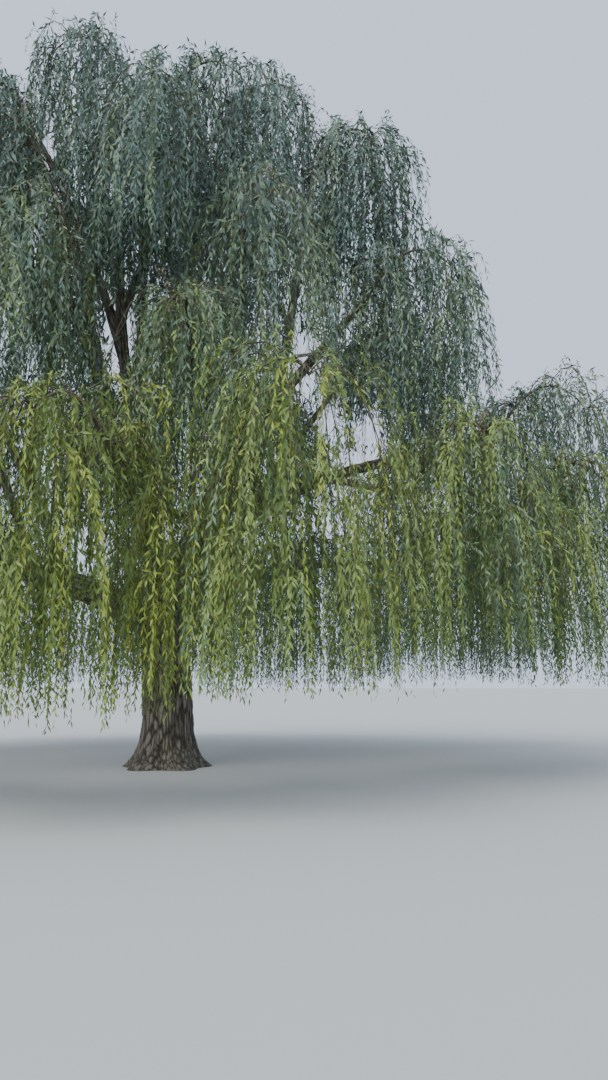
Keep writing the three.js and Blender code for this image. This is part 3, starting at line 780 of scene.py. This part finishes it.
crown = []
for number, mass in enumerate(masses):
    random = np.random.default_rng(100 + number)
    strands = strands_of(mass, random)
    whips = whips_of(strands, number, random)
    sprigs = sprigs_of(strands, number, random)
    crest = stem_whips_of(mass, number, random, CREST_WHIPS, 0.7, 0.7, 2.2)
    deep = mass.stem(0.5)[2] - mass.hem
    low = 1 - smoothstep(mass.shoulder, 6, 9)
    core = stem_whips_of(mass, number, random, CORE_WHIPS, 0.8 * mass.spread, 0.6 * deep, deep)
    # the kind, its twigs, their thickness, where their leaves begin, and the leaves' size and spacing
    for kind, twigs, thick, leafy_from, leaf_size, leaf_gap in (
        ("strand", strands, 0.014, 0.1, 1, 1),
        ("whip", whips, 0.0045, 0.04, 1, 1),
        ("whip", crest, 0.0045, 0.04, 1, 1),
        ("inner", core, 0.0045, 0.1, 1.35, 1.8),
        ("inner", inner_whips_of(mass, number, random), 0.0045, 0.15, 1.35, 1.8),
        ("sprig", sprigs, 0.0035, 0.1, 0.75, 0.85),
    ):
        count = len(twigs.run)
        twigs.thick = np.full(count, thick)
        twigs.leafy_from = np.full(count, leafy_from)
        twigs.leaf_size = np.full(count, leaf_size * (1 - LOW_SMALLER * low))
        twigs.leaf_gap = np.full(count, LEAF_EVERY * leaf_gap * (1 - LOW_CLOSER * low))
        twigs.mass = np.full(count, number)
        twigs.spray = twigs.spray + 1000 * number
        twigs.kind = np.full(count, kind)
        crown.append(twigs)
crown = together(crown)
print("twigs", len(crown.run))

# %% Thin the twigs out where the sky shows
THINNING = 1.7

random = np.random.default_rng(5)
openness = opening(points_on(crown, [0.2, 0.5, 0.8]).reshape(-1, 3)).reshape(-1, 3).mean(1)
crown = some(crown, (crown.kind == "strand") | (random.random(len(openness)) > THINNING * openness))
print({kind: int((crown.kind == kind).sum()) for kind in ("strand", "whip", "inner", "sprig")})

# %% [markdown]
# ## Twigs as thin tubes
# Thousands of tubes would be slow as curve objects. All twigs of one kind have the same number of rings,
# so numpy can place every ring of every twig at once and join them into one mesh. Three sides are enough
# for something a few millimetres thick.

# %% Make tubes and mesh objects from arrays
def tubes(lines, radii, sideways, sides=3):
    """Vertices and triangles of tubes along lines (twigs, rings, 3), closed to a point at their tips."""
    count, rings = lines.shape[:2]
    ahead = unit(np.gradient(lines, axis=1))
    across = np.broadcast_to(sideways[:, None], ahead.shape)
    over = np.cross(ahead, across)
    angle = np.arange(sides) * 2 * math.pi / sides
    ring = np.cos(angle)[:, None] * across[:, :-1, None] + np.sin(angle)[:, None] * over[:, :-1, None]
    body = lines[:, :-1, None] + radii[:, :-1, None, None] * ring
    each = (rings - 1) * sides + 1
    vertices = np.concatenate([body.reshape(count, -1, 3), lines[:, -1:]], axis=1).reshape(-1, 3)
    triangles = []
    for row in range(rings - 2):
        for side in range(sides):
            a, b = row * sides + side, row * sides + (side + 1) % sides
            triangles += [(a, b, a + sides), (b, b + sides, a + sides)]
    last = (rings - 2) * sides
    triangles += [(last + side, last + (side + 1) % sides, each - 1) for side in range(sides)]
    triangles = (np.array(triangles)[None] + each * np.arange(count)[:, None, None]).reshape(-1, 3)
    return vertices, triangles


def joined(name, vertices, triangles):
    """One mesh object from arrays of vertices and triangles."""
    mesh = bpy.data.meshes.new(name)
    mesh.vertices.add(len(vertices))
    mesh.vertices.foreach_set("co", vertices.astype(np.float32).ravel())
    mesh.loops.add(3 * len(triangles))
    mesh.loops.foreach_set("vertex_index", triangles.astype(np.int32).ravel())
    mesh.polygons.add(len(triangles))
    mesh.polygons.foreach_set("loop_start", np.arange(0, 3 * len(triangles), 3, dtype=np.int32))
    mesh.update(calc_edges=True)
    mesh.validate()
    piece = bpy.data.objects.new(name, mesh)
    bpy.context.scene.collection.objects.link(piece)
    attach(piece, "root")
    return piece


# %% Join the twigs into three meshes
THINNER = 0.75  # of its thickness, which a twig loses up to its last ring
TUBE_POWER = 1.5  # sets the rings closer at the bend, near the foot
STEM_RINGS, STEM_SIDES, STEM_TIP = 13, 7, 0.012

FOLIAGE = [f"foliage_{mass.name}" for mass in masses]
sideways = np.stack([-crown.way[:, 1], crown.way[:, 0], 0 * crown.run], axis=-1)
parts = []
for kind, rings in (("strand", 9), ("whip", 4), ("sprig", 4), ("inner", 3)):
    chosen = crown.kind == kind
    t = np.linspace(0, 1, rings) ** TUBE_POWER
    radii = crown.thick[chosen, None] * (1 - THINNER * t)
    parts.append(tubes(points_on(some(crown, chosen), t), radii, sideways[chosen]))
stem_lines = np.stack([mass.stem(np.linspace(0, 1, STEM_RINGS)) for mass in masses])
stem_sides = np.stack([unit(np.cross(mass.out, UP)) for mass in masses])
stem_radii = np.tile(np.linspace(TIP_RADIUS, STEM_TIP, STEM_RINGS), (len(masses), 1))
parts.append(tubes(stem_lines, stem_radii, stem_sides, STEM_SIDES))
# the parts are the strands, the whips, the sprigs, the whips inside and the stems, counted from 0
twig_pieces = []
for name, chosen in (("branching_twigs", (0, 4)), ("hanging_whips", (1, 3)), ("top_sprigs", (2,))):
    offset, corners, faces = 0, [], []
    for part in chosen:
        corners.append(parts[part][0])
        faces.append(parts[part][1] + offset)
        offset += len(parts[part][0])
    piece = joined(name, np.vstack(corners), np.vstack(faces))
    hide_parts(*FOLIAGE)
    twig_pieces.append(piece)
print("twig triangles", sum(len(piece.data.polygons) for piece in twig_pieces))

# %% [markdown]
# ## Leaves
# A willow leaf is a narrow blade about ten centimetres long, folded a little along its midrib. A real
# crown bears far more of them than a scene can hold, so each leaf here stands for two or three and is
# nearly half as long again. Two long triangles that share the midrib draw it well from a few steps away.
# The leaves sit singly and turn around the twig by the golden angle, lean away from it and then hang. Each
# leaf needs a place, a direction and a face that looks sideways, and all are worked out as arrays.

# %% Find a place for each leaf
def leaf_places(twigs, random):
    """For each leaf: the number of its twig, its number on that twig and its share along it."""
    shares = np.linspace(0, 1, 13)
    steps = np.linalg.norm(np.diff(points_on(twigs, shares), axis=1), axis=-1)
    reached = np.concatenate([np.zeros((len(steps), 1)), np.cumsum(steps, axis=1)], axis=1)
    long = reached[:, -1]
    bare = twigs.leafy_from * long
    count = np.maximum(3, ((long - bare) / twigs.leaf_gap).astype(int))
    twig = np.repeat(np.arange(len(count)), count)
    order = np.arange(len(twig)) - np.repeat(np.cumsum(count) - count, count)
    metres = bare[twig] + (long - bare)[twig] * (order + random.random(len(twig))) / count[twig]
    share = np.zeros(len(twig))
    for step in range(len(shares) - 1):
        low, high = reached[twig, step], reached[twig, step + 1]
        inside = (metres >= low) & (metres <= high)
        share[inside] = (shares[step] + shares[1] * (metres - low) / (high - low))[inside]
    return twig, order, share


# %% Turn each leaf into a blade
LEAF_LONG = (0.107, 0.185)
LEAF_WIDE = 0.24  # of its length
WIDEST = 0.4  # the share of its length where it is widest
FOLD = 0.25  # how far the midrib lies behind the sides there, as a share of its half width
LEAF_TURN = 25  # degrees by which it may leave the golden angle
LEAN = (8, 66)  # degrees between leaf and twig
WEIGHT = (0.15, 0.85)  # how strongly it bends towards the ground
ROLL = 42  # degrees by which it turns away from facing out of its mass
YOUNG = 0.35  # by which the leaves at the tip of a twig are shorter
GROWTH, GROWTH_HEIGHTS = 0.3, (4.5, 12)  # leaves are larger high up, seen from further away


def leaf_blades(twigs, order, share, random):
    """Four corners for each leaf: foot, left, tip and right. Most faces look out of their mass."""
    count = len(order)
    foot = points_on(twigs, share[:, None])[:, 0]
    before = points_on(twigs, share[:, None] - 0.01)[:, 0]
    after = points_on(twigs, np.minimum(share + 0.01, 1)[:, None])[:, 0]
    ahead = unit(after - before)
    level = np.stack([-twigs.way[:, 1], twigs.way[:, 0], 0 * share], axis=-1)
    turn = np.radians(GOLDEN_ANGLE * order + random.uniform(-LEAF_TURN, LEAF_TURN, count))[:, None]
    away = np.cos(turn) * level + np.sin(turn) * np.cross(ahead, level)
    lean = np.radians(random.uniform(*LEAN, count))[:, None]
    weight = random.uniform(*WEIGHT, count)[:, None]
    towards = unit(np.cos(lean) * ahead + np.sin(lean) * away - weight * UP)
    roll = np.radians(random.normal(0, ROLL, count))[:, None]
    wide_way = unit(np.cross(towards, (foot - middles[twigs.mass]) * (1, 1, 0)))
    wide_way = np.cos(roll) * wide_way + np.sin(roll) * np.cross(towards, wide_way)
    facing = np.cross(wide_way, towards)
    long = random.uniform(*LEAF_LONG, count) * (1 - YOUNG * share**4)
    long = (long * twigs.leaf_size * (1 + GROWTH * smoothstep(foot[:, 2], *GROWTH_HEIGHTS)))[:, None]
    half = LEAF_WIDE / 2 * long
    tip = foot + long * towards
    belly = foot + WIDEST * long * towards + FOLD * half * facing
    return np.stack([foot, belly - half * wide_way, tip, belly + half * wide_way], axis=1)


# %% Set leaves on all twigs
LEAF_THINNING = 1.05  # where the sky shows

random = np.random.default_rng(7)
leaf_twig, leaf_order, leaf_share = leaf_places(crown, random)
blades = leaf_blades(some(crown, leaf_twig), leaf_order, leaf_share, random)
kept = random.random(len(blades)) > LEAF_THINNING * opening(blades[:, 2])
blades, leaf_twig = blades[kept], leaf_twig[kept]
leaf_lengths = 100 * np.linalg.norm(blades[:, 2] - blades[:, 0], axis=1)
print("leaves", len(blades), "mean length", round(leaf_lengths.mean(), 1), "cm")

# %% [markdown]
# ## Colours dealt out by spray
# From a distance a willow isn't one green. The low curtains towards the light are yellow-green, the top of
# the crown is grey-green, and a few sprigs have turned to straw. Each step between has a lit and a shaded
# colour, and twigs deep inside a mass are likelier to take the shaded one. A spray draws its luck once and
# its twigs vary it a little, so a tress keeps together and parts from the next. Each colour is a material
# of its own, so the leaves are joined by colour.

# %% Mix the leaf colours
# red, green and blue, from the sunny low curtains to the top, a lit and a shaded one by turns
LEAF_COLOURS = {
    "yellow_green_lit": (0.305, 0.37, 0.068),
    "yellow_green_shaded": (0.118, 0.176, 0.038),
    "fresh_green_lit": (0.23, 0.31, 0.085),
    "fresh_green_shaded": (0.104, 0.158, 0.05),
    "soft_green_lit": (0.185, 0.262, 0.145),
    "soft_green_shaded": (0.1, 0.155, 0.095),
    "grey_green_lit": (0.185, 0.257, 0.212),
    "grey_green_shaded": (0.115, 0.17, 0.142),
    "straw": (0.18, 0.15, 0.1),
}
print("leaf colours", len(LEAF_COLOURS))


# %% Make materials for the leaves
def surface(name, colour, roughness):
    """A material with its main shader, and the means to add nodes to it."""
    material = bpy.data.materials.new(name)
    material.use_nodes = True
    shader = material.node_tree.nodes["Principled BSDF"]
    shader.inputs["Base Color"].default_value = (*colour, 1)
    shader.inputs["Roughness"].default_value = roughness
    material.diffuse_color = (*colour, 1)
    return material, shader, material.node_tree.nodes, material.node_tree.links


def roughen(nodes, links, shader, scale, strength, depth):
    """Adds fine relief from noise that is fixed to the object, and gives back the noise."""
    coordinates = nodes.new("ShaderNodeTexCoord")
    grain = nodes.new("ShaderNodeTexNoise")
    grain.inputs["Scale"].default_value = scale
    bump = nodes.new("ShaderNodeBump")
    bump.inputs["Strength"].default_value = strength
    bump.inputs["Distance"].default_value = depth
    links.new(coordinates.outputs["Object"], grain.inputs["Vector"])
    links.new(grain.outputs["Fac"], bump.inputs["Height"])
    links.new(bump.outputs["Normal"], shader.inputs["Normal"])
    return grain


def leaf_material(name, colour):
    """A half-dull skin in one plain colour."""
    material, shader, nodes, links = surface(name, colour, 0.5)
    shader.inputs["Specular IOR Level"].default_value = 0.25
    roughen(nodes, links, shader, 90, 0.25, 0.002)
    return material


# %% Deal the colours out by spray
SUNNY_AZIMUTH = -138
STRAW_SHARE = 0.12  # of the sprigs
SHADE = 0.5  # how much likelier the twigs inside a mass are to take a shaded colour

sunny_side = 0.68 + 0.32 * np.cos(np.radians(azimuth_of(middles) - SUNNY_AZIMUTH))
coolness = 0.7 * smoothstep(shoulders, 5, 9.5) + 0.3 * smoothstep(shoulders, 9, 15)
warmth = (1 - coolness) * sunny_side
colour_names = list(LEAF_COLOURS)
straw = len(colour_names) - 1
coolest = straw // 2 - 1
spray, spray_of_twig = np.unique(crown.spray, return_inverse=True)
warm = warmth[crown.mass] + random.normal(0.03, 0.15, len(spray))[spray_of_twig]
warm = warm + random.normal(0, 0.06, len(crown.run))
luck = random.random(len(spray))[spray_of_twig] + random.normal(0, 0.1, len(crown.run))
outward = depths(points_on(crown, [0.5])[:, 0])[np.arange(len(luck)), crown.mass].clip(0.3, 1.3)
outward[crown.kind == "inner"] = 0.3
shaded = luck + SHADE * (0.9 - outward) > 0.5
twig_colour = 2 * np.round(coolest * (1 - warm)).clip(0, coolest).astype(int) + shaded
twig_colour[(crown.kind == "sprig") & (random.random(len(luck)) < STRAW_SHARE)] = straw
leaf_colour = twig_colour[leaf_twig]
print("leaves in shaded colours", round(100 * (leaf_colour % 2 == 1).mean()), "%")

# %% Join the leaves by colour
MOST_LEAVES = 95_000  # in one piece

for number, name in enumerate(colour_names):
    material = leaf_material(f"leaf_{name}", LEAF_COLOURS[name])
    chosen = blades[leaf_colour == number]
    for part, some_blades in enumerate(np.array_split(chosen, math.ceil(len(chosen) / MOST_LEAVES))):
        corners = 4 * np.arange(len(some_blades))[:, None]
        faces = np.stack([corners + (0, 3, 2), corners + (0, 2, 1)], axis=1).reshape(-1, 3)
        piece = joined(f"leaves_{name}_{part + 1}", some_blades.reshape(-1, 3), faces)
        piece.data.materials.append(material)
        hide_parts(*FOLIAGE)
        print(piece.name, len(faces), "triangles")

# %% [markdown]
# ## Painting the bark
# The furrow depth that was stored with each vertex steers the paint: weathered grey on the ridges, dark
# brown in the furrows. A broad noise lays on patches of grey-green, as algae do on the shaded side of old
# bark. Twigs have a smoother skin, yellow-brown while they are young.

# %% Make materials for bark and twigs
def ramp(nodes, *stops):
    """A colour ramp with a stop for each (place, colour)."""
    node = nodes.new("ShaderNodeValToRGB")
    bands = node.color_ramp.elements
    while len(bands) < len(stops):
        bands.new(0.5)
    for band, (place, colour) in zip(bands, stops):
        band.position = place
        band.color = (*colour, 1)
    return node


def bark_material():
    """Grey ridges, dark furrows and patches of algae."""
    material, shader, nodes, links = surface("furrowed_bark", (0.2, 0.17, 0.14), 0.92)
    grain = roughen(nodes, links, shader, 55, 0.7, 0.007)
    grain.inputs["Detail"].default_value = 8
    depth = nodes.new("ShaderNodeAttribute")
    depth.attribute_name = "furrow"
    wood = ramp(nodes, (0.0, (0.26, 0.235, 0.195)), (0.4, (0.15, 0.13, 0.1)), (0.9, (0.04, 0.034, 0.027)))
    links.new(depth.outputs["Fac"], wood.inputs["Fac"])
    # a broad noise lays on algae
    patches = nodes.new("ShaderNodeTexNoise")
    patches.inputs["Scale"].default_value = 1.6
    patches.inputs["Detail"].default_value = 6
    links.new(nodes["Texture Coordinate"].outputs["Object"], patches.inputs["Vector"])
    where = ramp(nodes, (0.5, (0, 0, 0)), (0.74, (0.4, 0.4, 0.4)))
    links.new(patches.outputs["Fac"], where.inputs["Fac"])
    green = nodes.new("ShaderNodeMix")
    green.data_type = "RGBA"
    links.new(where.outputs["Color"], green.inputs["Factor"])
    links.new(wood.outputs["Color"], green.inputs["A"])
    green.inputs["B"].default_value = (0.105, 0.12, 0.07, 1)
    # and the fine grain breaks up the plates
    flecks = nodes.new("ShaderNodeMix")
    flecks.data_type = "RGBA"
    flecks.blend_type = "MULTIPLY"
    flecks.inputs["Factor"].default_value = 0.55
    links.new(green.outputs["Result"], flecks.inputs["A"])
    tone = ramp(nodes, (0.35, (0.45, 0.43, 0.4)), (0.62, (1.0, 1.0, 1.0)))
    links.new(grain.outputs["Fac"], tone.inputs["Fac"])
    links.new(tone.outputs["Color"], flecks.inputs["B"])
    links.new(flecks.outputs["Result"], shader.inputs["Base Color"])
    return material


def twig_material(name, colour):
    """A smooth skin that goes darker and lighter along the twig."""
    material, shader, nodes, links = surface(name, colour, 0.7)
    grain = roughen(nodes, links, shader, 40, 0.3, 0.002)
    darker = tuple(0.7 * part for part in colour)
    lighter = tuple(1.25 * part for part in colour)
    tone = ramp(nodes, (0.3, darker), (0.7, lighter))
    links.new(grain.outputs["Fac"], tone.inputs["Fac"])
    links.new(tone.outputs["Color"], shader.inputs["Base Color"])
    return material


# %% Paint the wood
TWIG_COLOURS = ((0.1, 0.085, 0.055), (0.2, 0.17, 0.06), (0.2, 0.18, 0.07))

bark = bark_material()
for piece in bark_pieces:
    piece.data.materials.append(bark)
for piece, colour in zip(twig_pieces, TWIG_COLOURS):
    piece.data.materials.append(twig_material(f"{piece.name}_skin", colour))
print("painted pieces of wood", len(bark_pieces) + len(twig_pieces))

# %% [markdown]
# ## Floor and light
# A tree is judged best under an even, overcast sky: the light comes from everywhere, and the depth of the
# crown shows in its own shade. The world's plain colour is that sky. One very wide, weak sun from above,
# in front and to the left gives the masses a lighter side, and a plain pale floor shows where the ground
# is.

# %% Lay the floor and light the tree
bpy.ops.mesh.primitive_circle_add(vertices=96, radius=400, fill_type="NGON")
floor = bpy.context.object
floor.name = "pale_floor"
floor.data.materials.append(surface("plain_floor", (0.5, 0.51, 0.5), 0.9)[0])

world = bpy.data.worlds.new("overcast_sky")
world.use_nodes = True
world.node_tree.nodes["Background"].inputs["Color"].default_value = (0.66, 0.76, 0.92, 1)
world.node_tree.nodes["Background"].inputs["Strength"].default_value = 1.3
bpy.context.scene.world = world

sun = bpy.data.objects.new("soft_sun", bpy.data.lights.new("soft_sun", "SUN"))
sun.data.energy = 2.4
sun.data.angle = math.radians(40)
sun.data.color = (1, 0.97, 0.9)
sun.rotation_euler = (math.radians(38), 0, math.radians(-35))
bpy.context.scene.collection.objects.link(sun)
print("sun", sun.data.energy, "sky", world.node_tree.nodes["Background"].inputs["Strength"].default_value)

# %% [markdown]
# ## The size of the tree
# The dressed tree must keep the size of its solids.
